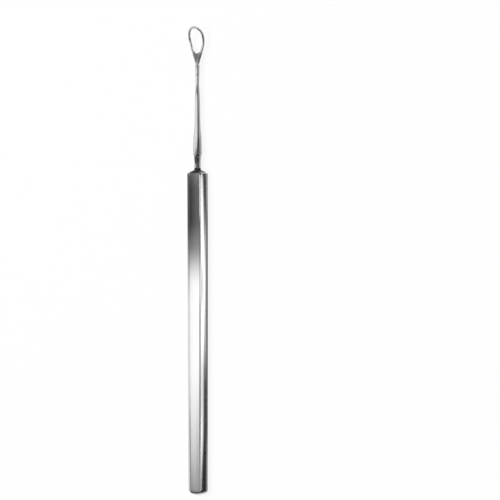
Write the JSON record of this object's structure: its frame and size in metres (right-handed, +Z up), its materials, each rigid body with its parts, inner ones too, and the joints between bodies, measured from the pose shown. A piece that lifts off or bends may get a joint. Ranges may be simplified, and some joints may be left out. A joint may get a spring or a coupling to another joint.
{
  "type": "ear curette",
  "caption": "Slender steel ear curette: a flat octagonal handle with domed ends carries a tapering rod that ends in a forward-bent, egg-shaped wire loop.",
  "frame": {"origin": "under the middle of the whole length, on the plane that the handle rests on", "axes": "+Y along the length towards the loop, +Z up from the broad face that it rests on and the way the loop bends, X across the handle's width"},
  "size_m": [0.0072, 0.16, 0.0054],
  "materials": {
    "handle_steel": "satin polish with fine lengthwise grinding lines",
    "shaft_steel": "bright polish, darker at the joint with the handle"
  },
  "bodies": {
    "root": {"handle": "handle_steel", "loop_shaft": "shaft_steel"}
  },
  "joints": []
}
